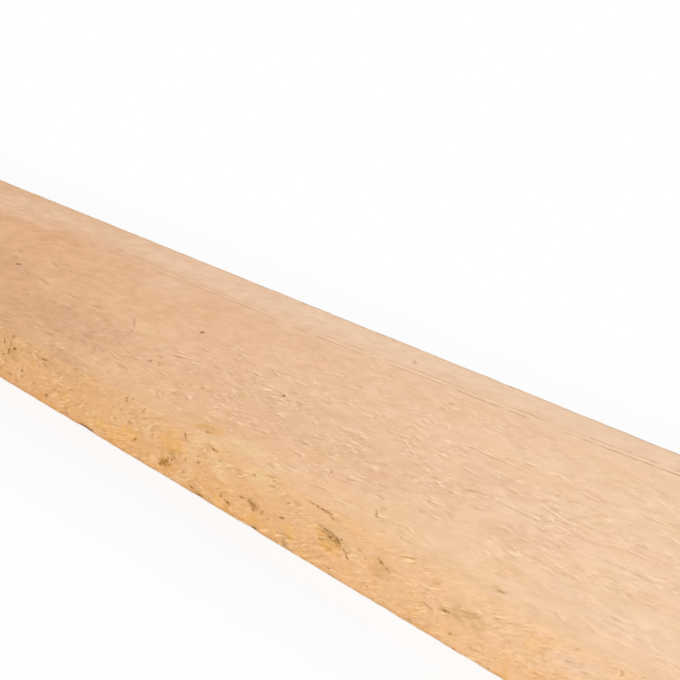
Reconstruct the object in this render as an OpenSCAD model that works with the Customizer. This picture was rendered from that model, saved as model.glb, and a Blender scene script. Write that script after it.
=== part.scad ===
// Rough-sawn timber plank: one piece of solid wood, sawn on four long sides and crosscut square at its ends.
// X runs along the grain, Y across the width and Z up through the thickness. The front edge faces -Y.
// The origin is the middle of the underside, so the plank lies on the plane Z = 0.

/* [Sawn size] */
// Length along the grain, from one crosscut end to the other
plank_length = 2000; // [500:50:5000]
// Width across the two wide faces
plank_width = 200; // [75:5:300]
// Thickness between the two wide faces
plank_thickness = 40; // [18:1:100]

/* [Long arrises] */
// Radius worn on the upper arris of the front edge
front_upper_arris = 2.5; // [0.5:0.1:8]
// Radius worn on the lower arris of the front edge
front_lower_arris = 1.5; // [0.5:0.1:8]
// Radius worn on the upper arris of the back edge
back_upper_arris = 1.5; // [0.5:0.1:8]
// Radius worn on the lower arris of the back edge
back_lower_arris = 1; // [0.5:0.1:8]

/* [Crosscut ends] */
// Bevel that handling leaves all round each crosscut end
end_bevel = 0.8; // [0.2:0.1:5]

/* [Colour] */
// Colour of the sawn wood
wood_colour = "burlywood"; // [burlywood, tan, wheat, peru]

/* [Hidden] */
$fn = 48;
// The front edge lies at -edge_y and the back edge at +edge_y
edge_y = plank_width / 2;

// What wear takes off a square corner at the origin whose wood fills the quadrant +X +Y
module arris_waste(radius) {
    difference() {
        square(2 * radius, center = true);
        translate([radius, radius])
            circle(radius);
    }
}

// The section that the saw leaves, with four arrises worn round: the width is across and the thickness is up
module sawn_section() {
    difference() {
        translate([-edge_y, 0])
            square([plank_width, plank_thickness]);
        translate([-edge_y, 0])
            arris_waste(front_lower_arris);
        translate([-edge_y, plank_thickness])
            mirror([0, 1])
                arris_waste(front_upper_arris);
        translate([edge_y, 0])
            mirror([1, 0])
                arris_waste(back_lower_arris);
        translate([edge_y, plank_thickness])
            rotate(180)
                arris_waste(back_upper_arris);
    }
}

// The stock as the saw leaves it, cut to length
module sawn_stock() {
    rotate([90, 0, 90])
        linear_extrude(plank_length, center = true)
            sawn_section();
}

// A rectangle about the origin with its four corners bevelled at 45 degrees
module bevelled_rectangle(along, across, bevel) {
    intersection() {
        square([along, across], center = true);
        rotate(45)
            square((along + across - 2 * bevel) / sqrt(2), center = true);
    }
}

// The bevels at both ends of the two wide faces, seen from the side
module side_outline() {
    translate([0, 0, plank_thickness / 2])
        rotate([90, 0, 0])
            linear_extrude(plank_width, center = true)
                bevelled_rectangle(plank_length, plank_thickness, end_bevel);
}

// The bevels at both ends of the two edges, seen from above
module plan_outline() {
    linear_extrude(plank_thickness)
        bevelled_rectangle(plank_length, plank_width, end_bevel);
}

module plank() {
    color(wood_colour)
        intersection() {
            sawn_stock();
            side_outline();
            plan_outline();
        }
}

plank();
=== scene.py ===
# %% [markdown]
# A rough-sawn plank
# The object is one plank of softwood, as it comes off the saw: two wide faces, two narrow edges and two
# crosscut ends. The packed model gives its exact size and its worn arrises. This lesson dresses that
# plain solid: it builds a finer mesh with the marks of the saw, lays loose fibres on it, and paints the
# wood with nodes.

# %% Load the packed plank
import math

import bmesh
import bpy
import numpy as np
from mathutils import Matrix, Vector, noise


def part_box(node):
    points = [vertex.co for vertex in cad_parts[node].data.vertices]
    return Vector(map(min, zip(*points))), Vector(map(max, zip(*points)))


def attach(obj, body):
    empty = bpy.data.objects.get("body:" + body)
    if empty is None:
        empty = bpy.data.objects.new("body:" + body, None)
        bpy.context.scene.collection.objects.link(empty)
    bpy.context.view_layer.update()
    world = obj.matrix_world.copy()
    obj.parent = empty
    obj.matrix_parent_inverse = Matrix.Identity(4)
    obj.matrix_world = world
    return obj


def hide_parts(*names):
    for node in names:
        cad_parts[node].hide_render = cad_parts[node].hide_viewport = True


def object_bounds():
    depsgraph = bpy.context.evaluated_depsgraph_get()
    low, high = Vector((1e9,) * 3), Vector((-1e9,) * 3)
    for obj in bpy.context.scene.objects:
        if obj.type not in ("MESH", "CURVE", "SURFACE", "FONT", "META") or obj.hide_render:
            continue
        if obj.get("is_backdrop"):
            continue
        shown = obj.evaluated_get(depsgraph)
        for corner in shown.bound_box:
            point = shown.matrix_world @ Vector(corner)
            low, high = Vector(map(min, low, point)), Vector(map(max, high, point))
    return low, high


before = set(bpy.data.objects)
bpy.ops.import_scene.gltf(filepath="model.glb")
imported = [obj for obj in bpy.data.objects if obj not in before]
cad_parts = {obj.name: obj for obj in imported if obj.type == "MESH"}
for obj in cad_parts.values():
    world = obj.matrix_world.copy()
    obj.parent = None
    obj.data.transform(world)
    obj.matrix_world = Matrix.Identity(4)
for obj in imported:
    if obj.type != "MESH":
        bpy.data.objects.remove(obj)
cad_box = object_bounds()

MM = 0.001
low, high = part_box("plank")
length, width, thickness = high - low
print("plank of", [round(side / MM, 1) for side in (length, width, thickness)], "mm")

# %% [markdown]
# The view
# A camera comes first, because it decides how fine each detail has to be. A 50 mm lens on a 24 mm
# square frame stands in front of the right half of the plank and looks back along it. Both ends stay
# outside the picture, so the plank runs right through it. The place is given from the middle of the
# front upper arris, which is easy to find again.

# %% Set the camera
LENS_MM = 50.0
FRAME_MM = 24.0
EYE_FROM_ARRIS = Vector((758.0, -438.9, 366.5)) * MM
LOOK_DOWN = math.radians(21.69)
LOOK_ROUND = math.radians(48.73)

camera_data = bpy.data.cameras.new("photo_camera")
camera_data.lens = LENS_MM
camera_data.sensor_width = FRAME_MM
camera = bpy.data.objects.new("photo_camera", camera_data)
camera.location = Vector((0.0, low.y, high.z)) + EYE_FROM_ARRIS
camera.rotation_euler = (math.pi / 2 - LOOK_DOWN, 0.0, LOOK_ROUND)
bpy.context.scene.collection.objects.link(camera)
bpy.context.scene.camera = camera
print("camera at", [round(c, 3) for c in camera.location])

# %% [markdown]
# The arrises
# An arris is the corner where two sawn faces meet. On this plank each of the four is worn to a round of
# its own. The radii could be typed in again, but then they could drift from the solid. They are
# measured on the packed mesh instead: a round ends where the flat face begins. On a small round the
# first facet is so nearly level that it counts as flat, and the radius comes out up to 0.2 mm too
# small. The bevel of the ends is measured at its narrowest, where it crosses the widest round, so the
# ends of this mesh are sharper than the solid's.

# %% Measure the worn arrises
ROUNDING = 0.01 * MM
SECTION = [v.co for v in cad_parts["plank"].data.vertices if abs(v.co.x) < high.x - ROUNDING]


def arris_radius(side, level):
    """Radius of the long arris at the edge plane Y = side and the face plane Z = level."""
    flat = [abs(co.y - side) for co in SECTION if abs(co.z - level) < ROUNDING]
    return min(flat)


ARRIS = {(side, level): arris_radius(side, level) for side in (low.y, high.y) for level in (low.z, high.z)}
END_BEVEL = high.x - max(co.x for co in SECTION)
print("arrises", [round(r / MM, 2) for r in ARRIS.values()], "mm, end bevel", round(END_BEVEL / MM, 2), "mm")

# %% [markdown]
# The plank's mesh
# The packed solid has a few long faces, which can't carry saw marks. A fine grid is needed, and the
# visible faces need it most. A cube is scaled to the plank, its arrises are bevelled one by one with
# their own radii, and the end corners get their small bevel. Then the edges that cross each face are
# cut into as many parts as that face needs, and last the long edges are cut into short steps. Every
# side stays one sheet of quads with no seam.

# %% Start from a cube with bevelled arrises
ARRIS_STEPS = 4
BEVEL_STEPS = 2

bm = bmesh.new()
bmesh.ops.create_cube(bm, size=1.0)
bmesh.ops.scale(bm, vec=(length, width, thickness), verts=bm.verts)
bmesh.ops.translate(bm, vec=(low + high) / 2, verts=bm.verts)


def runs_along(edge, axis, least):
    """Whether an edge runs along one axis and is longer than least."""
    step = edge.verts[1].co - edge.verts[0].co
    return abs(step[axis]) > max(least, 0.99 * step.length)


def bevel(edges, offset, steps):
    """Rounds the given edges of the plank."""
    bmesh.ops.bevel(bm, geom=edges, offset=offset, segments=steps, profile=0.5, affect="EDGES", material=-1)


for (side, level), radius in ARRIS.items():
    corner = [
        e
        for e in bm.edges
        if runs_along(e, 0, length / 2)
        and all(abs(v.co.y - side) < ROUNDING and abs(v.co.z - level) < ROUNDING for v in e.verts)
    ]
    bevel(corner, radius, ARRIS_STEPS)
END_EDGES = [e for e in bm.edges if not runs_along(e, 0, length / 2)]
bevel(END_EDGES, END_BEVEL, BEVEL_STEPS)
print("bevelled block:", len(bm.faces), "faces")

# %% Cut the faces into a fine grid
TOP_STEP = 3.5 * MM
FRONT_STEP = 2.5 * MM
BACK_STEP = 5.0 * MM
UNDER_STEP = 9.0 * MM
LENGTH_STEP = 2.5 * MM
middle = (low + high) / 2


def cut(edges, size, step):
    """Cuts edges of one size into parts of about one step."""
    bmesh.ops.subdivide_edges(bm, edges=edges, cuts=round(size / step) - 1, use_grid_fill=True)


def above_middle(edge):
    """Whether an edge lies on the upper half of the plank."""
    return (edge.verts[0].co.z + edge.verts[1].co.z) / 2 > middle.z


def before_middle(edge):
    """Whether an edge lies on the front half of the plank."""
    return (edge.verts[0].co.y + edge.verts[1].co.y) / 2 < middle.y


across = [e for e in bm.edges if runs_along(e, 1, width / 2)]
upright = [e for e in bm.edges if runs_along(e, 2, thickness / 2)]
cut([e for e in across if above_middle(e)], width, TOP_STEP)
cut([e for e in across if not above_middle(e)], width, UNDER_STEP)
cut([e for e in upright if before_middle(e)], thickness, FRONT_STEP)
cut([e for e in upright if not before_middle(e)], thickness, BACK_STEP)
cut([e for e in bm.edges if runs_along(e, 0, length / 2)], length, LENGTH_STEP)
print("fine grid:", len(bm.verts), "vertices,", len(bm.faces), "faces")

# %% [markdown]
# What the saw leaves
# The blade goes up and down while the log moves on, so each wide face has shallow bands square to the
# length, and the edges have closer marks that lean. Fibres tear, arrises wear and chips break off. A
# displacement texture could do it, but each face needs its own marks, so one function says how far the
# surface lies from the flat. It works in millimetres, and it is used twice: for the mesh, and later to
# seat the loose fibres on it.

# %% Say how the sawn surface rises and falls
BAND_PITCH = 32.0
BAND_REACH = 160.0
BAND_DEPTH = 0.24
TEAR_LENGTH = 22.0
TEAR_WIDTH = 7.0
TEAR_DEPTH = 0.22
LEAN = math.tan(math.radians(20.0))
MARK_PITCH = 8.0
MARK_HEIGHT = 30.0
MARK_DEPTH = 0.3
LUMP_SIZE = 20.0
LUMP_DEPTH = 0.5
WEAR_LENGTH = 26.0
UPPER_WEAR = 1.8
LOWER_WEAR = 0.3
# Each side reads its own sheet of the noise, and a second pattern on that side reads the next sheet
TOP_SHEET, UNDER_SHEET, FRONT_SHEET, BACK_SHEET = 0.0, 40.0, 20.0, 60.0
NEXT_SHEET = 5.0

# Chips and hollows: middle in mm from the plank's middle on the floor, half sizes, and depth
HOLLOWS = [
    ((-2.0, -100.0, 1.0), (9.0, 4.0, 3.0), 0.5),
    ((-26.0, -100.0, 3.0), (4.0, 4.0, 3.0), 0.5),
    ((128.0, -100.0, 1.0), (8.0, 4.0, 3.0), 0.4),
    ((179.0, -100.0, 1.0), (6.0, 4.0, 3.0), 0.5),
    ((252.0, -100.0, 26.0), (14.0, 6.0, 8.0), 0.9),
    ((180.0, -100.0, 17.0), (9.0, 6.0, 6.0), 0.6),
    ((92.0, -100.0, 11.0), (8.0, 6.0, 7.0), 0.8),
    ((116.0, -99.0, 37.0), (4.0, 5.0, 8.0), 0.8),
    ((244.0, -100.0, 38.5), (14.0, 5.0, 2.5), 0.7),
]


def waves(*place):
    """Smooth noise between about -1 and 1."""
    return noise.noise(Vector(place))


def sawn_height(place, normal):
    """How far the sawn surface lies outside the flat face, in metres, at a place with this normal."""
    x, y, z = place / MM
    face = UNDER_SHEET if normal.z < 0.0 else TOP_SHEET
    edge = BACK_SHEET if normal.y > 0.0 else FRONT_SHEET
    bands = BAND_DEPTH * waves(2 * x / BAND_PITCH, y / BAND_REACH, face)
    tears = TEAR_DEPTH * waves(2 * x / TEAR_LENGTH, 2 * y / TEAR_WIDTH, face + NEXT_SHEET)
    leaning = x - LEAN * z
    marks = MARK_DEPTH * waves(2 * leaning / MARK_PITCH, z / MARK_HEIGHT, edge)
    lumps = LUMP_DEPTH * waves(2 * x / LUMP_SIZE, 2 * z / LUMP_SIZE, edge + NEXT_SHEET)
    most_wear = UPPER_WEAR if normal.z > 0.0 else LOWER_WEAR
    wear = most_wear * (0.5 + waves(2 * x / WEAR_LENGTH, face, edge))
    flat, upright = normal.z**2, normal.y**2
    height = flat * (bands + tears) + upright * (marks + lumps) - 4 * flat * upright * max(wear, 0.0)
    for spot, half, depth in HOLLOWS:
        away = sum(((a - b) / c) ** 2 for a, b, c in zip((x, y, z), spot, half))
        height -= depth * math.exp(-away)
    return height * MM


# %% Press the saw's marks into the mesh
bm.normal_update()
flat_places = [(v.co.copy(), v.normal.copy()) for v in bm.verts]
deepest = 0.0
for vert, (place, normal) in zip(bm.verts, flat_places):
    # The crosscut ends stay flat, and marks only sink into the underside, which lies on the floor
    if abs(normal.x) > 0.5:
        continue
    height = sawn_height(place, normal)
    if normal.z < -0.5:
        height = min(height, 0.0)
    deepest = min(deepest, height)
    vert.co = place + normal * height
for face in bm.faces:
    face.smooth = len(face.verts) == 4

plank_mesh = bpy.data.meshes.new("sawn_plank")
bm.to_mesh(plank_mesh)
bm.free()
plank = bpy.data.objects.new("sawn_plank", plank_mesh)
bpy.context.scene.collection.objects.link(plank)
triangles = sum(len(p.vertices) - 2 for p in plank_mesh.polygons)
print("sawn plank:", triangles, "triangles, deepest mark", round(deepest / MM, 2), "mm")

# %% [markdown]
# Loose fibres
# A saw tears softwood, so short pale fibres stand up all over it. Hair particles could do that, but
# they aren't a mesh. One sliver is modelled here, a three-sided spindle with twenty triangles, and
# thousands of copies are placed with arrays: each has its own length, width, turn and curl, and lies on
# the sawn surface with its tip lifted. The random numbers have a fixed seed, so every run lays the same
# fibres.

# %% Model one sliver
ROOT, TIP = 0.2, 0.12
WAIST_GROWTH = 2.8

sliver = bmesh.new()
bmesh.ops.create_cone(sliver, cap_ends=True, segments=3, radius1=ROOT, radius2=TIP, depth=1.0)
long_edges = [e for e in sliver.edges if abs(e.verts[0].co.z - e.verts[1].co.z) > 0.5]
bmesh.ops.subdivide_edges(sliver, edges=long_edges, cuts=2)
waist = [v for v in sliver.verts if abs(v.co.z) < 0.4]
bmesh.ops.scale(sliver, vec=(WAIST_GROWTH, WAIST_GROWTH, 1.0), verts=waist)
bmesh.ops.triangulate(sliver, faces=sliver.faces)
sliver.verts.index_update()
# The spindle stands on Z, so its axes are turned to lie along X
SLIVER_POINTS = np.array([(v.co.z, v.co.x, v.co.y) for v in sliver.verts])
SLIVER_FACES = np.array([[v.index for v in f.verts] for f in sliver.faces])
sliver.free()
print("sliver:", len(SLIVER_POINTS), "points,", len(SLIVER_FACES), "triangles")

# %% [markdown]
# Where the fibres lie
# The wide faces are most torn in a band along their front half, towards the right end, and smooth near
# the left and along the back edge. The torn part starts on a slant. Fibres could be spread evenly, but
# then the eye sees a carpet, so a share between 0 and 1 says how many of them stay at a place. On the
# edges the saw pulls the fibres every way, so there they are shorter and turn more.

# %% Say where the wood is torn
TORN_SLANT = -1.5
TORN_FROM, TORN_FADE = 70.0, 40.0
TORN_Y, TORN_HALF = -28.0, 38.0
BACK_FROM, BACK_FADE = 66.0, 6.0
PATCH_LENGTH, PATCH_WIDTH, PATCH_SHEET = 34.0, 12.0, 3.0


def torn_share(x, y):
    """Share of the fibres that stay at a place on a wide face, x and y in mm."""
    right = 1 / (1 + math.exp(-(x + TORN_SLANT * y - TORN_FROM) / TORN_FADE))
    near = 1 / (1 + math.exp((y - BACK_FROM) / BACK_FADE))
    band = 0.4 + 0.6 * math.exp(-(((y - TORN_Y) / TORN_HALF) ** 2))
    patch = 0.4 + 1.4 * waves(x / PATCH_LENGTH, y / PATCH_WIDTH, PATCH_SHEET)
    return (0.05 + 0.95 * right) * (0.25 + 0.75 * near) * band * min(max(patch, 0.05), 1.0)


for along_mm in (0.0, 300.0):
    print("share of fibres at X", along_mm, "mm:", round(torn_share(along_mm, 0.0), 2))

# %% Lay the fibres on the four long sides and the front upper arris
RIM = 4.0 * MM
END_MARGIN = 30.0 * MM
ALONG = Vector((1, 0, 0))
UP_FRONT = Vector((0, -1, 1)).normalized()
# The worn arris lies this far inside the sharp corner
CORNER_LOSS = (math.sqrt(2) - 1) * ARRIS[low.y, high.z]
SIDES = [
    # outward normal, middle and width of the side, fibres tried, spread in degrees, lengths in mm
    (Vector((0, 0, 1)), Vector((0, 0, high.z)), width - 2 * RIM, 7000, 24.0, (3.0, 12.0)),
    (Vector((0, 0, -1)), Vector((0, 0, low.z)), width - 2 * RIM, 2500, 24.0, (3.0, 12.0)),
    (Vector((0, -1, 0)), Vector((0, low.y, middle.z)), thickness - 2 * RIM, 700, 50.0, (2.5, 8.0)),
    (Vector((0, 1, 0)), Vector((0, high.y, middle.z)), thickness - 2 * RIM, 600, 50.0, (2.5, 8.0)),
    (UP_FRONT, Vector((0, low.y, high.z)) - UP_FRONT * CORNER_LOSS, 3 * MM, 700, 40.0, (2.5, 7.0)),
]
FIBRE_WIDTH = (0.4, 1.1)
FIBRE_HEIGHT = (0.2, 0.55)
FIBRE_LIFT = math.radians(2.0)
FIBRE_CURL = 0.26
SEED = 20
draw = np.random.default_rng(SEED)


def laid_sliver(seat, normal, angle, lift, curl, sizes):
    """The points of one sliver on its seat, with its sizes along, beside and proud of the wood."""
    way = ALONG * math.cos(angle) + normal.cross(ALONG) * math.sin(angle)
    way = (way + normal * math.sin(lift)).normalized()
    beside = normal.cross(way).normalized()
    axes = np.array([way, beside, way.cross(beside)])
    bent = SLIVER_POINTS * sizes
    bent[:, 1] += curl * sizes[0] * SLIVER_POINTS[:, 0] ** 2
    return bent @ axes + np.array(seat)


points, paleness = [], []
for normal, side_middle, span, tried, spread, limits in SIDES:
    sideways = normal.cross(ALONG)
    for u, v, keep, size, thin, tall, yaw, lift, curl, pale in draw.random((tried, 10)):
        long = (limits[0] + (limits[1] - limits[0]) * size**2) * MM
        angle = math.radians(spread) * (2 * yaw - 1)
        room = max(span - long * abs(math.sin(angle)), 0.0)
        seat = side_middle + ALONG * (u - 0.5) * (length - END_MARGIN) + sideways * (v - 0.5) * room
        if abs(normal.z) == 1.0 and keep > torn_share(seat.x / MM, seat.y / MM):
            continue
        seat += normal * sawn_height(seat, normal)
        wide = np.interp(thin, (0, 1), FIBRE_WIDTH) * MM
        proud = np.interp(tall, (0, 1), FIBRE_HEIGHT) * MM
        lifted = FIBRE_LIFT * (2 * lift - 1)
        curled = FIBRE_CURL * (2 * curl - 1)
        points.append(laid_sliver(seat, normal, angle, lifted, curled, np.array((long, wide, proud))))
        paleness.append(pale)
    print("tried", tried, "fibres on this side, and have laid", len(points), "so far")

# %% Join the fibres into one mesh
starts = np.arange(len(points))[:, None, None] * len(SLIVER_POINTS)
fibre_mesh = bpy.data.meshes.new("torn_fibres")
fibre_mesh.from_pydata(np.concatenate(points).tolist(), [], (SLIVER_FACES + starts).reshape(-1, 3).tolist())
pale_layer = fibre_mesh.attributes.new("pale", "FLOAT", "POINT")
pale_layer.data.foreach_set("value", np.repeat(paleness, len(SLIVER_POINTS)))
fibres = bpy.data.objects.new("torn_fibres", fibre_mesh)
bpy.context.scene.collection.objects.link(fibres)
print("torn fibres:", len(points), "slivers,", len(fibre_mesh.polygons), "triangles")

# %% [markdown]
# Shader maths in Python
# A wood material is mostly arithmetic on a place. Dozens of Math nodes are hard to read, so one small
# class wraps a socket and lets plus, minus and times add the nodes. Anything else comes from its node
# method, which takes the node's type, its settings, and what goes into its sockets.

# %% Wrap a socket
class Wire:
    """An output socket whose sums, products and powers become Math nodes."""

    def __init__(self, socket):
        self.socket = socket
        self.tree = socket.id_data

    def node(self, kind, settings=None, sockets=None, output=0):
        """Adds a node of one kind to this tree, and returns one of its outputs."""
        made = self.tree.nodes.new(kind)
        for name, value in (settings or {}).items():
            setattr(made, name, value)
        for name, value in (sockets or {}).items():
            if isinstance(value, Wire):
                self.tree.links.new(value.socket, made.inputs[name])
            else:
                made.inputs[name].default_value = value
        return Wire(made.outputs[output])

    def other(self, output):
        """Another output of the same node."""
        return Wire(self.socket.node.outputs[output])

    def math(self, operation, *values):
        """A Math node of one operation."""
        return self.node("ShaderNodeMath", {"operation": operation}, dict(enumerate(values)))

    def __add__(self, other):
        return self.math("ADD", self, other)

    __radd__ = __add__

    def __sub__(self, other):
        return self.math("SUBTRACT", self, other)

    def __rsub__(self, other):
        return self.math("SUBTRACT", other, self)

    def __mul__(self, other):
        return self.math("MULTIPLY", self, other)

    __rmul__ = __mul__

    def __truediv__(self, other):
        return self.math("DIVIDE", self, other)

    def __pow__(self, other):
        return self.math("POWER", self, other)

    def __abs__(self):
        return self.math("ABSOLUTE", self)

    def most(self, other):
        """The larger of two values."""
        return self.math("MAXIMUM", self, other)

    def between(self, start, end):
        """0 at start, 1 at end and smooth between them."""
        if start > end:
            return 1 - self.between(end, start)
        limits = {"Value": self, "From Min": start, "From Max": end}
        return self.node("ShaderNodeMapRange", {"interpolation_type": "SMOOTHSTEP"}, limits)

    def near(self, middle, half):
        """1 where this value is at the middle, and 0 half away from it or further."""
        return abs(self - middle).between(half, 0.0)


print("a wire knows", len([name for name in vars(Wire) if name != "__doc__"]), "operations")

# %% [markdown]
# Places and blots
# Noise is read at a place in millimetres, and dividing the place by three sizes stretches the noise:
# long along the grain and thin across it gives fibres. A blot is a ball squeezed to three half sizes,
# which marks a knot or a speck wherever it meets the surface. Both belong to places, so a second class
# adds them to the first.

# %% Wrap a place
TOP_Z = round(high.z / MM, 3)
FRONT_Y = round(low.y / MM, 3)
BLOT_DEPTH = 6.0
BLOT_CORE = 0.7


class Place(Wire):
    """A place in mm, and the noise and blots that are read there."""

    def vector(self, operation, other):
        """Vector Math of this place and another."""
        sockets = {0: self, 1: other}
        return Place(self.node("ShaderNodeVectorMath", {"operation": operation}, sockets).socket)

    def axes(self):
        """The three numbers of this place."""
        first = self.node("ShaderNodeSeparateXYZ", {}, {0: self})
        return first, first.other(1), first.other(2)

    def grain(self, sizes, detail=2.0, rough=0.5, output=0):
        """Noise between 0 and 1 whose blots have these sizes in mm."""
        stretch = {"Vector": self, "Scale": sizes}
        drawn_out = self.node("ShaderNodeMapping", {"vector_type": "TEXTURE"}, stretch)
        sockets = {"Vector": drawn_out, "Scale": 1.0, "Detail": detail, "Roughness": rough}
        return self.node("ShaderNodeTexNoise", {}, sockets, output)

    def swayed(self, sizes, reach):
        """This place moved about by noise of these sizes, up to about half of each reach."""
        noise_colour = Place(self.grain(sizes, 1.0, 0.5, 1).socket)
        sway = noise_colour.vector("SUBTRACT", (0.5, 0.5, 0.5)).vector("MULTIPLY", reach)
        return self.vector("ADD", sway)

    def blot(self, middle, half, turn):
        """1 in the middle of a blot, falling evenly to 0 at its rim."""
        sockets = {"Vector": self, "Location": middle, "Rotation": turn, "Scale": half}
        inside = self.node("ShaderNodeMapping", {"vector_type": "TEXTURE"}, sockets)
        return self.node("ShaderNodeTexGradient", {"gradient_type": "SPHERICAL"}, {"Vector": inside}, 1)

    def blots(self, spots):
        """0 outside all of several blots and 1 well inside one, on the top face or the front edge."""
        found = None
        for side, x, across, half_x, half_across, turn in spots:
            angle = math.radians(turn)
            if side == "top":
                spot = self.blot((x, across, TOP_Z), (half_x, half_across, BLOT_DEPTH), (0.0, 0.0, angle))
            else:
                spot = self.blot((x, FRONT_Y, across), (half_x, BLOT_DEPTH, half_across), (0.0, -angle, 0.0))
            found = spot if found is None else found.most(spot)
        return found.between(0.0, BLOT_CORE)


def mixed(share, first, second):
    """A colour between two, by a share from 0 to 1."""
    return share.node("ShaderNodeMix", {"data_type": "RGBA"}, {0: share, 6: first, 7: second}, 2)


def srgb(red, green, blue):
    """A colour as a picture editor shows it, as the linear colour that a shader needs."""
    parts = [c / 255 for c in (red, green, blue)]
    return (*[c / 12.92 if c <= 0.04045 else ((c + 0.055) / 1.055) ** 2.4 for c in parts], 1.0)


print("tan is", [round(c, 3) for c in srgb(231, 190, 152)])

# %% [markdown]
# Marks in the wood
# Real planks have knots, specks of bark and stains, and an even pattern never looks like one. Painting
# them into an image could place them too, but a list of places keeps the material free of images. Each
# mark says where it is on the top face or the front edge in millimetres, its half sizes and its turn in
# degrees.

# %% List the stains
# Broad, darker stains on the smooth part of the top face
STAIN = [
    ("top", -110.0, -62.0, 150.0, 46.0, 3.0),
    ("top", -255.0, -32.0, 85.0, 36.0, 0.0),
    ("top", -40.0, -91.0, 50.0, 8.0, 0.0),
]
# Broad, lighter areas
LIGHT = [
    ("top", -385.0, 66.0, 120.0, 32.0, 0.0),
    ("top", -112.0, 42.0, 50.0, 17.0, 0.0),
    ("top", 425.0, -66.0, 70.0, 24.0, 0.0),
    ("edge", 428.0, 30.0, 34.0, 12.0, 0.0),
]
# Broad, faint shade on the torn part
SHADE = [
    ("top", 150.0, -50.0, 210.0, 60.0, 4.0),
    ("top", 337.0, -44.0, 45.0, 18.0, 0.0),
    ("top", 62.0, -44.0, 60.0, 22.0, 0.0),
    ("top", 287.0, -8.0, 45.0, 16.0, 0.0),
]
# Warm amber patches
AMBER = [
    ("edge", 101.0, 26.0, 15.0, 13.0, 15.0),
    ("edge", 92.0, 11.0, 9.0, 7.0, 0.0),
    ("edge", 16.0, 12.0, 14.0, 7.0, 8.0),
    ("edge", 34.0, 9.0, 14.0, 8.0, 8.0),
    ("edge", 52.0, 15.0, 17.0, 9.0, 12.0),
    ("edge", 152.0, 6.0, 18.0, 6.0, 0.0),
    ("edge", 182.0, 6.0, 24.0, 6.0, 0.0),
    ("edge", 213.0, 12.0, 7.0, 6.0, 60.0),
    ("edge", 245.0, 21.0, 20.0, 9.0, -8.0),
    ("top", 125.0, -86.0, 17.0, 8.0, 0.0),
    ("top", 272.0, -73.0, 5.0, 2.5, -20.0),
]
# Pale, bleached patches
BLEACHED = [
    ("edge", 128.0, 38.0, 17.0, 10.0, 0.0),
    ("edge", 75.0, 26.0, 9.0, 8.0, 20.0),
    ("edge", 79.0, 7.0, 7.0, 5.0, 0.0),
    ("edge", 148.0, 30.0, 22.0, 12.0, 0.0),
    ("edge", 110.0, 6.0, 14.0, 6.0, 0.0),
    ("edge", 190.0, 38.0, 26.0, 9.0, 0.0),
    ("top", 140.0, -94.0, 30.0, 8.0, 0.0),
    ("top", 160.0, -84.0, 22.0, 10.0, 0.0),
]
# Soft olive smudges round the specks
SMUDGES = [
    ("top", -207.0, 65.0, 6.0, 4.0, 0.0),
    ("top", -274.0, 31.0, 8.0, 4.0, 0.0),
    ("top", 121.0, -87.0, 11.0, 4.5, 0.0),
    ("top", 266.0, -79.0, 7.0, 3.0, -30.0),
    ("top", 129.0, 79.0, 5.0, 4.0, 0.0),
    ("top", -76.0, -32.0, 5.0, 7.0, 0.0),
    ("top", -105.0, -23.0, 7.0, 3.0, 0.0),
    ("top", 364.0, -89.0, 8.0, 4.0, 0.0),
    ("edge", 91.0, 10.0, 9.0, 5.5, 0.0),
    ("edge", 252.0, 24.0, 19.0, 8.0, -10.0),
    ("edge", 250.0, 25.0, 13.0, 5.0, -14.0),
    ("edge", 181.0, 16.0, 14.0, 5.0, 0.0),
    ("edge", 290.0, 21.0, 12.0, 6.0, 0.0),
    ("edge", 338.0, 20.0, 9.0, 5.0, 0.0),
    ("edge", 291.0, 25.0, 9.0, 4.5, -10.0),
    ("edge", -92.0, 27.0, 9.0, 8.0, 30.0),
    ("edge", 102.0, 17.0, 7.0, 4.0, 20.0),
    ("edge", 209.0, 4.0, 6.0, 4.0, 30.0),
    ("edge", 130.0, 3.0, 14.0, 3.0, 0.0),
    ("edge", 354.0, 23.0, 18.0, 8.0, 0.0),
]
print("stains:", [len(spots) for spots in (STAIN, LIGHT, SHADE, AMBER, BLEACHED, SMUDGES)])

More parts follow.
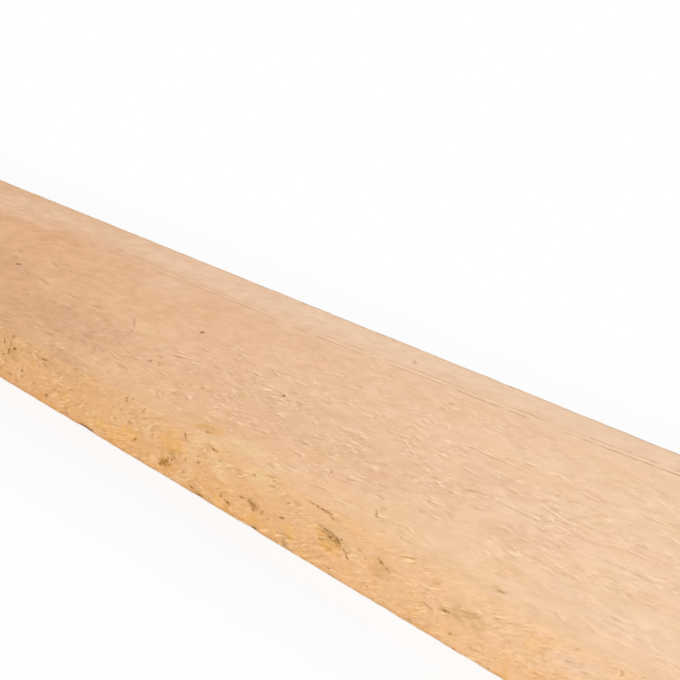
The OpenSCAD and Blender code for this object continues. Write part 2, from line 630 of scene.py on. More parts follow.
# %% List the brown strokes
STREAKS = [
    ("top", -260.0, 1.0, 7.0, 2.0, -12.0),
    ("top", -247.0, -10.0, 9.0, 2.0, -14.0),
    ("top", -212.0, 5.0, 13.0, 2.0, -14.0),
    ("top", -187.0, 5.0, 6.0, 1.8, -14.0),
    ("top", -208.0, -22.0, 9.0, 2.0, -8.0),
    ("top", -180.0, -23.0, 18.0, 2.0, -9.0),
    ("top", -134.0, -24.0, 12.0, 2.0, 0.0),
    ("top", -104.0, -23.0, 11.0, 2.2, 4.0),
    ("top", -134.0, -42.0, 5.0, 1.8, 0.0),
    ("top", -117.0, -35.0, 6.0, 1.8, 0.0),
    ("top", -116.0, -41.5, 11.0, 1.8, 0.0),
    ("top", -163.0, -48.0, 5.0, 2.4, 0.0),
    ("top", -59.0, -20.0, 15.0, 1.8, -32.0),
    ("top", -57.5, -60.0, 8.0, 4.0, 0.0),
    ("top", -51.0, -68.0, 8.0, 1.8, -10.0),
    ("top", -60.0, -71.0, 7.0, 2.2, 0.0),
    ("top", -82.0, -71.0, 6.0, 2.0, 0.0),
    ("top", -78.0, -78.0, 6.0, 2.0, 0.0),
    ("top", -31.0, -66.5, 12.0, 2.2, 0.0),
    ("top", 5.0, -72.0, 12.0, 2.0, -4.0),
    ("top", 7.5, -43.0, 6.0, 2.4, 0.0),
    ("top", 16.0, -34.5, 8.0, 2.0, 12.0),
    ("top", 18.5, -14.0, 6.0, 1.6, 0.0),
    ("top", 48.5, -26.0, 6.0, 1.8, 0.0),
    ("top", 64.5, -25.5, 6.0, 1.8, 0.0),
    ("top", 57.0, -13.5, 4.0, 2.0, 0.0),
    ("top", 7.0, -84.0, 5.0, 1.8, -20.0),
    ("top", -27.0, -95.5, 9.0, 3.0, 0.0),
]
print("brown strokes:", len(STREAKS))

# %% List the brown specks and dashes of bark
BROWN = [
    ("top", 126.0, -89.5, 4.4, 2.0, -10.0),
    ("top", 20.0, -52.0, 2.4, 1.5, 0.0),
    ("top", 267.0, -82.0, 6.0, 0.9, -41.0),
    ("top", -61.0, -53.0, 2.4, 1.3, 40.0),
    ("edge", 51.0, 39.0, 3.6, 1.2, -25.0),
    ("edge", 55.0, 24.5, 3.6, 1.5, 8.0),
    ("edge", 59.7, 14.5, 4.0, 1.5, 30.0),
    ("edge", 129.5, 28.5, 2.2, 1.1, 30.0),
    ("edge", 129.0, 24.0, 2.2, 1.4, 25.0),
    ("edge", 116.0, 21.5, 1.5, 1.6, 0.0),
    ("edge", 115.3, 37.0, 1.4, 4.6, 15.0),
    ("edge", 146.0, 38.5, 5.0, 0.9, 0.0),
    ("edge", 87.0, 7.5, 3.0, 1.8, 20.0),
    ("edge", 91.0, 9.5, 3.0, 1.8, -15.0),
    ("edge", 94.5, 12.5, 3.0, 1.8, 0.0),
    ("edge", 98.0, 11.0, 2.0, 1.2, 30.0),
    ("edge", 96.0, 15.0, 1.8, 1.2, 30.0),
    ("edge", 100.5, 15.5, 1.7, 1.2, 20.0),
    ("edge", 103.5, 17.5, 1.8, 1.5, 40.0),
    # These two lie in a chip at the foot of the front edge, where they are painted shadow
    ("edge", 121.0, 4.5, 4.2, 1.4, 0.0),
    ("edge", 129.0, 2.0, 5.0, 1.4, 0.0),
    ("edge", 150.5, 10.5, 2.0, 1.2, -30.0),
    ("edge", 156.5, 8.5, 4.2, 1.6, -8.0),
    ("edge", 171.0, 17.5, 3.4, 1.2, 8.0),
    ("edge", 177.5, 17.5, 2.8, 1.4, -20.0),
    ("edge", 181.5, 16.5, 2.8, 1.6, 20.0),
    ("edge", 181.5, 13.5, 3.0, 1.4, 0.0),
    ("edge", 190.0, 15.5, 2.6, 1.2, 30.0),
    ("edge", 195.0, 13.0, 2.2, 1.0, 0.0),
    ("edge", 208.5, 19.5, 4.4, 1.2, 16.0),
    ("edge", 209.0, 3.5, 2.6, 1.8, 40.0),
    ("edge", 214.5, 31.0, 2.6, 0.8, 30.0),
    ("edge", 240.5, 28.0, 2.6, 1.0, 10.0),
    ("edge", 243.5, 25.5, 2.4, 1.0, 20.0),
    ("edge", 246.0, 27.5, 2.6, 1.0, -20.0),
    ("edge", 248.5, 24.0, 2.6, 1.0, 15.0),
    ("edge", 250.5, 27.0, 2.0, 1.0, -45.0),
    ("edge", 253.0, 23.5, 2.4, 1.0, 30.0),
    ("edge", 256.5, 23.0, 2.4, 1.0, -35.0),
    ("edge", 258.0, 26.5, 2.0, 0.9, 25.0),
    ("edge", 260.5, 21.0, 2.2, 1.0, -30.0),
    ("edge", 241.5, 20.0, 3.6, 1.2, 15.0),
    ("edge", 263.0, 18.5, 3.0, 1.1, -38.0),
    ("edge", 290.0, 27.5, 3.6, 1.7, -25.0),
    ("edge", 295.0, 25.0, 2.4, 1.2, -20.0),
    ("edge", 243.0, 38.2, 20.0, 0.8, -1.0),
    ("edge", 337.5, 20.5, 4.6, 1.3, 8.0),
    ("edge", 341.0, 9.0, 1.8, 1.1, 25.0),
    ("edge", -108.0, 21.5, 3.2, 1.7, 0.0),
    ("edge", -83.0, 12.0, 2.4, 1.5, 0.0),
    ("edge", -48.0, 36.0, 5.6, 1.8, 12.0),
    ("edge", -59.5, 36.0, 2.4, 1.2, 20.0),
    ("edge", -50.0, 8.5, 3.6, 2.2, 10.0),
    ("edge", -25.0, 4.0, 2.8, 1.8, 20.0),
    ("edge", -93.5, 39.3, 3.6, 2.0, 0.0),
]
print("specks and dashes:", len(BROWN))

# %% List the fainter marks, the splits and the darkest specks
# Fainter specks and dashes
FAINT = [
    ("edge", 250.0, 25.0, 12.0, 4.4, -22.0),
    ("edge", 181.0, 16.0, 7.0, 3.0, -10.0),
    ("edge", 91.0, 9.5, 8.0, 4.0, 10.0),
    ("top", 364.5, -90.0, 3.4, 1.5, 0.0),
    ("top", 66.0, -72.0, 4.6, 1.1, 10.0),
    ("top", -243.0, 44.0, 2.6, 1.7, 0.0),
    ("top", -61.0, -43.0, 2.8, 1.2, -30.0),
    ("top", -97.0, -33.3, 2.4, 1.2, 0.0),
    ("top", 214.0, -68.0, 3.2, 1.2, -45.0),
    ("top", 48.0, -8.0, 8.0, 0.7, -10.0),
    ("edge", 73.0, 33.5, 4.6, 0.9, 14.0),
    ("edge", 46.5, 31.0, 2.6, 1.0, 15.0),
    ("edge", 113.0, 11.5, 3.0, 1.1, 15.0),
    ("edge", 125.0, 12.0, 2.6, 0.9, 10.0),
    ("edge", 101.0, 5.5, 2.0, 1.0, 35.0),
    ("edge", 197.5, 39.5, 8.0, 0.9, -6.0),
    ("edge", 200.0, 36.0, 5.0, 1.0, 15.0),
    ("edge", 252.0, 36.8, 6.0, 1.0, -4.0),
    ("edge", 273.5, 27.0, 2.6, 1.2, 0.0),
    ("edge", 277.5, 24.0, 1.8, 1.1, 0.0),
    ("edge", 325.0, 17.5, 6.4, 1.1, -3.0),
    ("edge", 312.5, 3.0, 3.4, 1.6, 0.0),
    ("edge", -56.5, 28.5, 1.8, 1.2, 0.0),
    ("edge", -66.5, 12.0, 2.2, 1.2, 0.0),
    ("edge", -16.0, 24.0, 6.0, 1.0, 18.0),
    ("edge", -100.0, 8.5, 3.6, 1.8, 20.0),
    ("edge", -12.0, 39.8, 6.0, 0.8, -4.0),
    ("edge", 250.0, 1.0, 9.0, 1.0, 0.0),
]
# Thin splits along the grain, shown only as a painted highlight on the far lip and painted shade in front of
# it
LINES = [
    ("top", 272.0, 15.8, 27.0, 1.1, 0.0),
    ("top", 328.0, -10.0, 13.0, 1.0, -10.0),
    ("top", 314.0, -22.0, 24.0, 1.0, 0.0),
    ("top", 266.0, -8.0, 13.0, 1.0, -6.0),
    ("top", 331.0, 19.0, 9.0, 1.1, 0.0),
    ("top", 370.0, 24.7, 16.0, 1.0, 0.0),
    ("top", 386.0, -11.5, 11.0, 1.0, 0.0),
    ("top", 78.0, -15.5, 11.0, 1.2, 0.0),
    ("top", 105.0, -18.5, 9.0, 1.0, 4.0),
    ("top", 204.0, 14.0, 13.0, 1.0, 0.0),
    ("top", 157.0, -32.0, 8.0, 1.1, -25.0),
    ("top", 217.0, -11.0, 8.0, 1.1, -25.0),
    ("top", 15.0, -31.5, 14.0, 1.1, 15.0),
    ("top", 10.0, -10.5, 6.0, 1.1, -8.0),
    ("top", -13.0, -65.0, 9.0, 1.1, -8.0),
]
# The darkest specks, and painted shadow in the chips at the foot of the front edge
DARK = [
    ("top", -231.0, -17.0, 4.0, 2.6, 10.0),
    ("top", -10.0, 5.0, 3.0, 2.3, -20.0),
    ("top", 9.0, -52.0, 2.4, 1.6, 0.0),
    ("top", 114.0, -21.5, 2.2, 1.5, -20.0),
    ("edge", -90.5, 31.0, 2.8, 1.5, 10.0),
    ("edge", -82.5, 16.8, 2.4, 1.7, 20.0),
    ("edge", -99.5, 26.5, 1.4, 5.2, -30.0),
    ("edge", -104.0, 33.0, 1.1, 3.4, -20.0),
    ("edge", -95.0, 34.5, 1.1, 2.6, 15.0),
    ("edge", 255.0, 25.0, 2.6, 1.2, -25.0),
    # These two are painted shadow in the chips at the foot of the front edge
    ("edge", 0.0, 1.5, 14.0, 2.2, 0.0),
    ("edge", 182.0, 1.5, 3.8, 1.9, 0.0),
]
print("fainter marks:", len(FAINT), "splits:", len(LINES), "darkest specks:", len(DARK))

# %% [markdown]
# Colours
# The wide faces are a pinkish tan, the sapwood along the back edge is paler, and the front edge is
# warmer, most of all near its lower arris, where the deeper orange is painted shade. Faces and edges
# grow lighter to the right, partly in the wood's own tone and partly as painted light. Every colour is
# given as a picture editor shows it.

# %% Choose the colours
# Left and right colours: the change between them is partly the wood's own tone and partly painted light
LEFT_TAN = srgb(223, 174, 133)
RIGHT_TAN = srgb(239, 201, 167)
STRAW = srgb(231, 192, 146)
PINK = srgb(233, 185, 149)
SAPWOOD = srgb(234, 200, 171)
LIGHT_PINK = srgb(239, 203, 175)
LEFT_WARM = srgb(227, 177, 124)
RIGHT_WARM = srgb(234, 191, 148)
WARM_ORANGE = srgb(230, 170, 96)
WARM_PALE = srgb(233, 193, 146)
STAIN_TAN = srgb(201, 153, 116)
AMBER_WOOD = srgb(231, 174, 92)
BLEACHED_WOOD = srgb(234, 198, 150)
OLIVE = srgb(182, 142, 78)
DASH_BROWN = srgb(142, 94, 30)
SPECK_BROWN = srgb(104, 62, 14)
RING_BROWN = srgb(186, 138, 104)
END_TAN = srgb(208, 162, 116)
END_RING = srgb(172, 122, 74)
FIBRE_PALE = srgb(254, 222, 186)
EDGE_FIBRE = srgb(250, 210, 160)
print("tan from", [round(c, 2) for c in LEFT_TAN[:3]], "to", [round(c, 2) for c in RIGHT_TAN[:3]])

# %% [markdown]
# The log inside the plank
# Growth rings are cylinders round the heart of the log, so one distance from the heart serves the faces
# and the end grain alike. The heart lies below the plank and bends a little along it. On the sawn faces
# only the ring where heartwood meets sapwood shows, as two thin broken lines near the back edge.

# %% Measure the distance from the heart
HEART_Y, HEART_Z = -60.0, -80.0
BEND = (0.0212, 7.0e-5)
SAP_Y = 60.6
SAP_RADIUS = math.hypot(SAP_Y - HEART_Y, thickness / MM - HEART_Z)
RING_PITCH = 5.5
RING_WAVER = 5.0


def heart_distance(place):
    """Distance from the heart of the log in mm, with the waver of real rings."""
    x, y, z = place.swayed((150.0, 50.0, 50.0), (0.0, RING_WAVER, RING_WAVER)).axes()
    off_y = y - (BEND[0] + BEND[1] * x) * x - HEART_Y
    off_z = z - HEART_Z
    return (off_y * off_y + off_z * off_z) ** 0.5


print("sapwood starts", round(SAP_RADIUS, 1), "mm from the heart")

# %% [markdown]
# Torn wood
# Where the saw tears the wood, fibres stand up in ridges with hollows beside them, and the light shows
# each one pale on one side and dark on the other. Noise drawn out along the grain gives the ridges, and
# a Bump node shades them. It reads its height several times, so the nodes behind it are kept few: the
# pale strokes, part pale fibre and part painted highlight, and the painted shadow beside each stroke
# are added as colour alone. The tone also paints light on the ridges and shade in the hollows, over the
# wood's own mottling. The place sways before the noise is read, which bends the strokes so that no two
# run alike. On the edges the fibres lean, as the saw pulled them.

# %% Tear the wide faces
EDGE_Y = width / 2 / MM
MIDDLE_Z = thickness / 2 / MM


def skewed(place, axis, slope):
    """A place whose Y or Z, axis 1 or 2, grows with X, so that what is drawn along X leans."""
    x = place.axes()[0]
    return place.vector("ADD", x.node("ShaderNodeCombineXYZ", {}, {axis: slope * x}))


def face_relief(place):
    """Height in mm, pale strokes and tone of the torn wood on the wide faces; a tone of 0 is plain."""
    x, y, _ = place.axes()
    swayed = place.swayed((70.0, 24.0, 24.0), (0.0, 7.0, 0.0)).swayed((12.0, 8.0, 8.0), (0.0, 3.6, 0.0))
    right = (x + TORN_SLANT * y).between(-110.0, 130.0)
    band = (0.8 + 0.35 * y.near(TORN_Y, 70.0)) * (1 - 0.2 * x.between(280.0, 420.0))
    patch = swayed.grain((36.0, 10.0, 14.0), 2.0).between(0.4, 0.6)
    torn = (0.15 + 0.85 * patch) * (0.22 + 0.78 * right) * band * (0.3 + 0.7 * y.between(72.0, 52.0))
    ridges = skewed(swayed, 1, 0.12).grain((9.0, 3.2, 40.0), 3.0) - 0.5
    stray = skewed(swayed, 1, -0.35).grain((7.0, 2.8, 40.0), 2.0) - 0.5
    drawn = swayed.swayed((26.0, 12.0, 12.0), (0.0, 10.0, 0.0))
    # Pale strokes, part pale fibre and part painted highlight, and a painted shadow beside each stroke: the
    # same noise read again, so the shadow is drawn 1.9 mm in front of its stroke
    strokes = drawn.vector("ADD", (90.0, 30.0, 0.0)).grain((13.0, 2.2, 40.0), 2.0).between(0.57, 0.69)
    stroke_shadow = drawn.vector("ADD", (90.0, 31.9, 0.0)).grain((13.0, 2.2, 40.0), 2.0).between(0.6, 0.7)
    fine = swayed.grain((4.0, 1.4, 30.0), 2.0, 0.6) - 0.5
    cloud = swayed.grain((15.0, 7.0, 30.0), 2.0) - 0.5
    bands = place.grain((8.0, 160.0, 160.0), 2.0) - 0.5
    height = torn * (ridges + 0.7 * stray) + 0.08 * fine + 0.3 * cloud
    # The tone is partly painted light and shade, lighter on the ridges and darker in the hollows and in the
    # painted shadow beside the strokes, and partly the wood's own fine mottling and bands
    dark = 0.22 - 0.15 * x.between(200.0, 380.0)
    tone = torn * (0.6 * ridges + 0.35 * stray - dark * stroke_shadow) + 0.09 * fine + 0.07 * bands
    return height, 0.7 * torn * strokes, tone + (0.36 - 0.1 * right) * cloud


print("half width", round(EDGE_Y, 1), "mm and half thickness", round(MIDDLE_Z, 1), "mm")

# %% Tear the edges
def edge_relief(place):
    """Height in mm, pale strokes and tone of the torn wood on the edges."""
    x, y, _ = place.axes()
    unfolded = place.vector("ADD", y.node("ShaderNodeCombineXYZ", {}, {2: EDGE_Y - abs(y)}))
    pulled = unfolded.swayed((24.0, 24.0, 24.0), (0.0, 0.0, 6.0)).swayed((6.0, 6.0, 6.0), (1.2, 1.2, 1.2))
    leaning = skewed(pulled, 2, -LEAN)
    torn = 0.35 + 0.65 * pulled.grain((24.0, 60.0, 10.0), 2.0).between(0.42, 0.62)
    ridges = leaning.grain((8.0, 30.0, 2.1), 2.0) - 0.5
    stray = pulled.grain((5.0, 30.0, 2.4), 2.0) - 0.5
    # Pale strokes, part pale fibre and part painted highlight, and a painted shadow beside each stroke: the
    # same noise read again, so the shadow is drawn 1.2 mm below its stroke
    strokes = leaning.vector("ADD", (90.0, 0.0, 30.0)).grain((9.0, 30.0, 1.4), 2.0).between(0.59, 0.68)
    stroke_shadow = leaning.vector("ADD", (90.0, 0.0, 31.2)).grain((9.0, 30.0, 1.3), 2.0).between(0.61, 0.71)
    fine = pulled.grain((3.2, 30.0, 1.0), 2.0, 0.6) - 0.5
    marks = leaning.grain((4.0, 60.0, 60.0), 2.0) - 0.5
    # The tone is partly painted light and shade, lighter on the ridges and saw marks and darker in their
    # hollows and beside the strokes, and partly the wood's own fine mottling
    height = torn * (ridges + 0.8 * stray) + 0.1 * fine + 0.2 * marks
    tone = torn * (0.5 * ridges + 0.3 * stray - 0.25 * stroke_shadow) + 0.12 * fine + 0.1 * marks
    return height, 0.9 * torn * strokes, tone * (1.2 - 0.3 * x.between(150.0, 300.0))


print("fibres on the edges lean", round(math.degrees(math.atan(LEAN)), 1), "degrees")

# %% [markdown]
# The colour of the wood
# The colours lie over each other, as a painter glazes: the tan of the faces with soft pink and straw
# clouds, the paler sapwood, and the warmth of the front edge, which runs a little way over the arris.
# An image could hold all that, but functions of the place need no map of the surface. Soft stains come
# next, under the tone of the torn wood, because the saw tears through them. The fine dark marks come
# last, over it. Past the listed stretch, noise places both on the edges.

# %% Colour the faces and edges
SAP_BEFORE, SAP_AFTER = 9.0, 15.0


def face_colour(place, distance):
    """Tan of the wide faces, with clouds and sapwood."""
    x = place.axes()[0]
    # Lighter to the right: partly the wood's own tone, partly painted light
    colour = mixed(x.between(-330.0, 480.0), LEFT_TAN, RIGHT_TAN)
    colour = mixed(0.4 * place.grain((60.0, 22.0, 22.0), 4.0).between(0.48, 0.7), colour, STRAW)
    clouds = place.vector("ADD", (300.0, 90.0, 40.0)).grain((44.0, 18.0, 18.0), 4.0)
    colour = mixed(0.35 * clouds.between(0.48, 0.7), colour, PINK)
    sap = distance.between(SAP_RADIUS - SAP_BEFORE, SAP_RADIUS + SAP_AFTER) * x.between(-700.0, 60.0)
    return mixed(0.8 * sap, colour, SAPWOOD)


def edge_colour(place):
    """Warm colour of the edges, patchy, and deeper near the lower arris, where that is painted shade."""
    x, _, z = place.axes()
    # Lighter to the right: partly the wood's own tone, partly painted light
    colour = mixed(x.between(120.0, 440.0), LEFT_WARM, RIGHT_WARM)
    patches = place.swayed((9.0, 9.0, 9.0), (8.0, 8.0, 8.0))
    colour = mixed(0.6 * patches.grain((26.0, 26.0, 15.0), 4.0).between(0.5, 0.66), colour, WARM_PALE)
    shifted = patches.vector("ADD", (70.0, 20.0, 50.0))
    deep = shifted.grain((17.0, 17.0, 9.0), 4.0).between(0.5, 0.68)
    # The orange deepens towards the lower arris as painted shade
    return mixed(0.4 * deep + 0.12 * z.between(14.0, 0.0), colour, WARM_ORANGE)


def warmth(place):
    """How far the warm colour of the front edge has the upper hand, from 0 to 1."""
    x, y, z = place.axes()
    spill = place.grain((22.0, 22.0, 22.0), 4.0, 0.6) - 0.5
    climb = (y + 24 * spill).between(-20.0, -112.0)
    front = (y + 10 * spill).between(-92.0, -99.5)
    spread = 0.25 + 0.2 * x.between(-60.0, 120.0)
    return spread * climb + (0.75 - spread) * front + 0.25 * front * z.between(38.0, 10.0)


print("sapwood fades in over", SAP_BEFORE + SAP_AFTER, "mm")

# %% Stain the colour
STAIN_LAYERS = [
    # spots, colour, strength, share that is broken into flakes
    (LIGHT, LIGHT_PINK, 0.4, 0.0),
    (STAIN, STAIN_TAN, 0.5, 0.2),
    (SHADE, STAIN_TAN, 0.16, 0.0),
    (AMBER, AMBER_WOOD, 0.65, 0.6),
    (BLEACHED, BLEACHED_WOOD, 0.7, 0.3),
    (SMUDGES, OLIVE, 0.5, 0.6),
]
LISTED_X, LISTED_HALF, LISTED_FADE = 135.0, 270.0, 60.0


def layered(colour, place, layers, pieces):
    """A colour with layers of marks over it, each partly broken up by a pattern of pieces."""
    for spots, tint, strength, broken in layers:
        share = strength * place.blots(spots) * (1 - broken + broken * pieces)
        colour = mixed(share, colour, tint)
    return colour


def past_lists(place):
    """1 past the stretch of the plank that the lists of marks describe, and 0 along it."""
    return abs(place.axes()[0] - LISTED_X).between(LISTED_HALF, LISTED_HALF + LISTED_FADE)


def stained(place, colour, on_edge):
    """A colour with the soft stains of the lists, and amber ones from noise on the edges past the lists."""
    soft = place.swayed((14.0, 14.0, 14.0), (12.0, 12.0, 12.0)).swayed((3.0, 3.0, 3.0), (3.0, 3.0, 3.0))
    flakes = place.grain((6.0, 3.0, 2.6), 3.0, 0.6).between(0.4, 0.6)
    colour = layered(colour, soft, STAIN_LAYERS, flakes)
    amber = soft.grain((26.0, 26.0, 12.0)).between(0.55, 0.66)
    return mixed(0.5 * past_lists(place) * on_edge * amber, colour, AMBER_WOOD)


print(len(STAIN_LAYERS), "layers of stains along", 2 * LISTED_HALF, "mm of the plank")

# %% Mark the colour
MARK_LAYERS = [
    # spots, colour, strength, share that is broken into crumbs
    (STREAKS, RING_BROWN, 0.5, 0.3),
    (FAINT, DASH_BROWN, 0.5, 0.5),
    (BROWN, DASH_BROWN, 0.8, 0.6),
    (DARK, SPECK_BROWN, 0.8, 0.25),
]
SPLIT_WIDTH = 1.4


def marked(place, colour, on_edge):
    """A colour with the dark marks of the lists over it, and specks from noise on the edges."""
    ragged = place.swayed((2.6, 2.6, 2.6), (1.2, 1.2, 1.2))
    crumbs = place.grain((1.8, 1.8, 1.3), 2.0, 0.6).between(0.42, 0.58)
    colour = layered(colour, ragged, MARK_LAYERS, crumbs)

    # Long splits have a painted highlight on their far lip, and painted shade just in front of it
    colour = mixed(0.4 * ragged.blots(LINES), colour, FIBRE_PALE)
    colour = mixed(0.3 * ragged.vector("ADD", (0.0, SPLIT_WIDTH, 0.0)).blots(LINES), colour, RING_BROWN)

    # Brown flecks past the stretch that the lists describe
    flecks = ragged.grain((6.0, 6.0, 2.6)).between(0.66, 0.72)
    colour = mixed(0.6 * past_lists(place) * on_edge * flecks, colour, DASH_BROWN)

    # Small specks all over the edges, one in some cells of a Voronoi pattern
    cells = ragged.vector("DIVIDE", (8.0, 8.0, 4.5))
    voronoi = cells.node("ShaderNodeTexVoronoi", {}, {"Vector": cells, "Scale": 1.0, "Randomness": 1.0})
    chance = Place(voronoi.other(1).socket).axes()[0]
    dots = voronoi.between(0.22, 0.06) * chance.between(0.85, 1.0) * on_edge
    return mixed(0.6 * dots, colour, DASH_BROWN)


print(len(MARK_LAYERS), "layers of marks, and", len(LINES), "splits")

# %% [markdown]
# Put the wood together
# The layers feed one shader. Sawn wood is dull, so its roughness is high and its specular level low,
# and the height of the torn ridges goes through a Bump node. Painted shade darkens the front upper
# arris a little, and painted shadow darkens the foot of the edges, where less light comes. The loose
# fibres could have a plain pale colour, but then they look strewn on, so they get the same wood and
# are paler, each by its own number.

# %% Build the two materials
# Red, green and blue shares of the tone, which carries painted light and shade as well as the wood's own
# tone
TONE_SHARES = (0.8, 1.0, 1.35)
LINE_GAP = 3.6
EDGE_SPILL = 12.0
EDGE_FROM, EDGE_TO = MIDDLE_Z + 13.0, MIDDLE_Z - 2.0
# Reach of the painted shade along the front upper arris, and strength and height of the painted shadow at
# the foot
ARRIS_REACH = 18.0
FOOT_SHADOW, FOOT_HEIGHT = 0.12, 4.0
END_X = high.x / MM
END_GRAIN_FROM, END_GRAIN_TO = END_X - 1.1, END_X - 0.5


def ring_lines(distance, place, colour):
    """A colour with two broken dark lines, and a pale one between them, where heartwood meets sapwood."""
    dashes = place.grain((26.0, 9.0, 9.0), 3.0).between(0.4, 0.52)
    clear = dashes * (0.45 + 0.55 * place.axes()[0].between(-120.0, 260.0))
    gap = distance + 1.2 * (place.grain((9.0, 2.0, 2.0)) - 0.5) - SAP_RADIUS
    dark = gap.near(0.0, 0.8).most(0.8 * gap.near(LINE_GAP, 0.75))
    colour = mixed(0.35 * clear * gap.near(LINE_GAP / 2, 0.9), colour, FIBRE_PALE)
    return mixed(0.7 * clear * dark, colour, RING_BROWN)


def toned(colour, tone):
    """A colour made lighter or darker by a tone that holds painted light and shade as well as the wood's own
    tone; wood's blue changes most, and its red least.
    """
    gains = {axis: 1 + share * tone for axis, share in enumerate(TONE_SHARES)}
    return Place(colour.socket).vector("MULTIPLY", tone.node("ShaderNodeCombineXYZ", {}, gains))


def wood(name, fibre):
    """The sawn wood, or the loose fibres that lie on it."""
    material = bpy.data.materials.new(name)
    material.use_nodes = True
    tree = material.node_tree
    tree.nodes.clear()
    metres = Place(tree.nodes.new("ShaderNodeTexCoord").outputs["Object"])
    place = metres.vector("DIVIDE", (MM, MM, MM))
    x, y, z = place.axes()
    distance = heart_distance(place)
    round_arris = abs(z - MIDDLE_Z) + EDGE_Y - abs(y)
    spill = EDGE_SPILL * (place.grain((9.0, 9.0, 9.0)) - 0.5)
    on_edge = (round_arris + spill).between(EDGE_FROM, EDGE_TO)

    colour = mixed(warmth(place), face_colour(place, distance), edge_colour(place))
    colour = stained(place, colour, on_edge)
    face, edge = face_relief(place), edge_relief(place)
    height, strokes, tone = (a + on_edge * (b - a) for a, b in zip(face, edge))
    # Painted shade along the front upper arris, more to the left, and painted shadow up to 4 mm above the
    # floor
    off_arris = abs(y - FRONT_Y) + abs(z - TOP_Z)
    arris = off_arris.between(ARRIS_REACH, 0.0) * (0.04 + 0.06 * x.between(120.0, -60.0))
    shadow = FOOT_SHADOW * z.between(FOOT_HEIGHT, 0.0)
    pale_fibre = mixed(on_edge, FIBRE_PALE, EDGE_FIBRE)
    colour = mixed(strokes, toned(colour, tone - arris - shadow), pale_fibre)
    colour = ring_lines(distance, place, colour)
    colour = marked(place, colour, on_edge)

    # End grain is darker, and shows the rings
    turn = distance / RING_PITCH
    late = turn.math("FRACT", turn).between(0.5, 0.95)
    end = abs(x).between(END_GRAIN_FROM, END_GRAIN_TO)
    colour = mixed(end, colour, mixed(0.8 * late, END_TAN, END_RING))
    if fibre:
        pale = place.node("ShaderNodeAttribute", {"attribute_name": "pale"}, {}, 2)
        colour = mixed(0.1 + 0.4 * pale, colour, pale_fibre)

    bump = {"Strength": 1.0, "Distance": MM, "Height": height}
    finish = {
        "Base Color": colour,
        "Roughness": 0.86 + 0.3 * tone,
        "Normal": place.node("ShaderNodeBump", {}, bump),
        "Specular IOR Level": 0.12,
    }
    shader = place.node("ShaderNodeBsdfPrincipled", {}, finish)
    output = tree.nodes.new("ShaderNodeOutputMaterial")
    tree.links.new(shader.socket, output.inputs["Surface"])
    print(name, "has", len(tree.nodes), "nodes")
    return material


plank_mesh.materials.append(wood("rough_sawn_wood", False))
fibre_mesh.materials.append(wood("torn_fibre_wood", True))

# %% [markdown]
# Put the pieces on the frame
# The fine mesh stands for the packed node, and both pieces ride on the one body that the plank is.

# %% Ride on the frame
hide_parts("plank")
for piece in (plank, fibres):
    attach(piece, "root")
print("riding on root:", plank.name, "and", fibres.name)

# %% [markdown]
# Floor and light
# The plank lies on a white floor in soft light. More lamps could whiten the floor, but they would
# bleach the wood. So part of the floor's white is seen only by the camera and by reflections: less of
# it close to the plank, so that its shadow stays, and all of it further away.

# %% Lay the floor
FLOOR_HALF = 12.0
FLOOR_WHITE = 0.88
NEAR_GLOW = 0.78
GLOW_FROM, GLOW_TO = 0.03, 0.2

floor_bm = bmesh.new()
bmesh.ops.create_grid(floor_bm, x_segments=1, y_segments=1, size=FLOOR_HALF)
floor_mesh = bpy.data.meshes.new("floor")
floor_bm.to_mesh(floor_mesh)
floor_bm.free()
floor = bpy.data.objects.new("floor", floor_mesh)
bpy.context.scene.collection.objects.link(floor)
floor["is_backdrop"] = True


def seen_directly(wire):
    """1 for what the camera, a reflection or glass sees, and 0 for light on its way to a surface."""
    camera_ray = wire.node("ShaderNodeLightPath", {}, {}, "Is Camera Ray")
    return camera_ray.most(camera_ray.other("Is Glossy Ray")).most(camera_ray.other("Is Transmission Ray"))


floor_material = bpy.data.materials.new("white_floor")
floor_material.use_nodes = True
floor_tree = floor_material.node_tree
floor_tree.nodes.clear()
spot = Place(floor_tree.nodes.new("ShaderNodeTexCoord").outputs["Object"])
floor_x, floor_y, _ = spot.axes()
past_side = (abs(floor_y) - width / 2).most(abs(floor_x) - length / 2)
share = NEAR_GLOW + (1 - NEAR_GLOW) * past_side.between(GLOW_FROM, GLOW_TO)
matt = spot.node("ShaderNodeBsdfDiffuse", {}, {"Color": (FLOOR_WHITE, FLOOR_WHITE, FLOOR_WHITE, 1.0)})
glow = spot.node("ShaderNodeEmission", {}, {"Color": (1.0, 1.0, 1.0, 1.0), "Strength": 1.0})
both = spot.node("ShaderNodeMixShader", {}, {0: share * seen_directly(spot), 1: matt, 2: glow})
floor_output = floor_tree.nodes.new("ShaderNodeOutputMaterial")
floor_tree.links.new(both.socket, floor_output.inputs["Surface"])
floor_mesh.materials.append(floor_material)
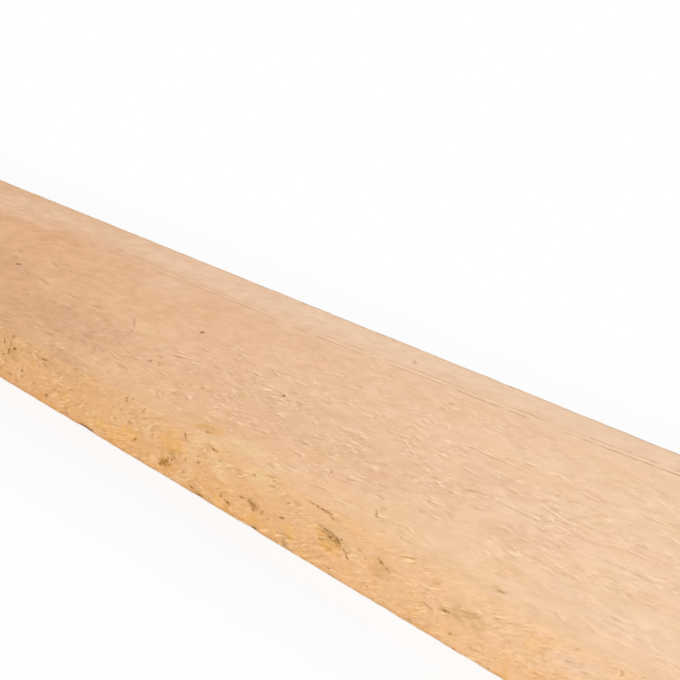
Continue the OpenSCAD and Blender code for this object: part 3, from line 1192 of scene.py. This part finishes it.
print("floor", 2 * FLOOR_HALF, "m square")

# %% Light the room
ROOM_LIGHT = 0.58

world = bpy.data.worlds.new("studio")
bpy.context.scene.world = world
world.use_nodes = True
world_tree = world.node_tree
world_tree.nodes.clear()
sky = Wire(world_tree.nodes.new("ShaderNodeBackground").outputs[0])
strength = ROOM_LIGHT + (1 - ROOM_LIGHT) * seen_directly(sky)
world_tree.links.new(strength.socket, sky.socket.node.inputs["Strength"])
sky.socket.node.inputs["Color"].default_value = (1.0, 1.0, 1.0, 1.0)
world_output = world_tree.nodes.new("ShaderNodeOutputWorld")
world_tree.links.new(sky.socket, world_output.inputs["Surface"])
print("room light", ROOM_LIGHT, "and white where it is seen directly")

# %% [markdown]
# Two soft lamps
# The key lamp stands in front of the plank and to the right, about 45 degrees up, so that it shades the
# torn fibres and lights the edge that faces the camera. A sun lamp could do that, but its shadows are
# hard, and these are wide lamps. A weaker one behind keeps the far side from going flat.

# %% Hang the lamps
LAMPS = [
    # name, place, aim, size in metres, power in watts
    ("key", Vector((1.3, -1.8, 2.2)), Vector((0.0, 0.0, 0.0)), 1.2, 48.0),
    ("fill", Vector((-1.2, 2.0, 1.8)), Vector((0.0, 0.0, 0.0)), 2.0, 14.0),
]
for name, where, aim, size, power in LAMPS:
    lamp_data = bpy.data.lights.new(name, "AREA")
    lamp_data.shape = "SQUARE"
    lamp_data.size = size
    lamp_data.energy = power
    lamp = bpy.data.objects.new(name, lamp_data)
    lamp.location = where
    lamp.rotation_euler = (aim - where).to_track_quat("-Z", "Y").to_euler()
    bpy.context.scene.collection.objects.link(lamp)
bpy.context.scene.view_settings.view_transform = "Standard"
print(len(LAMPS), "lamps in a room of", ROOM_LIGHT)

# %% [markdown]
# Check the size
# The dressed plank has to stay as large as the solid, so its box is compared with the solid's, and
# how far it has grown at the high corner is printed.

# %% Compare the boxes and finish
dressed_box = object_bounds()
grown = [round(float(b - a) / MM, 2) for a, b in zip(cad_box[1], dressed_box[1])]
print("grown by", grown, "mm at the high corner")
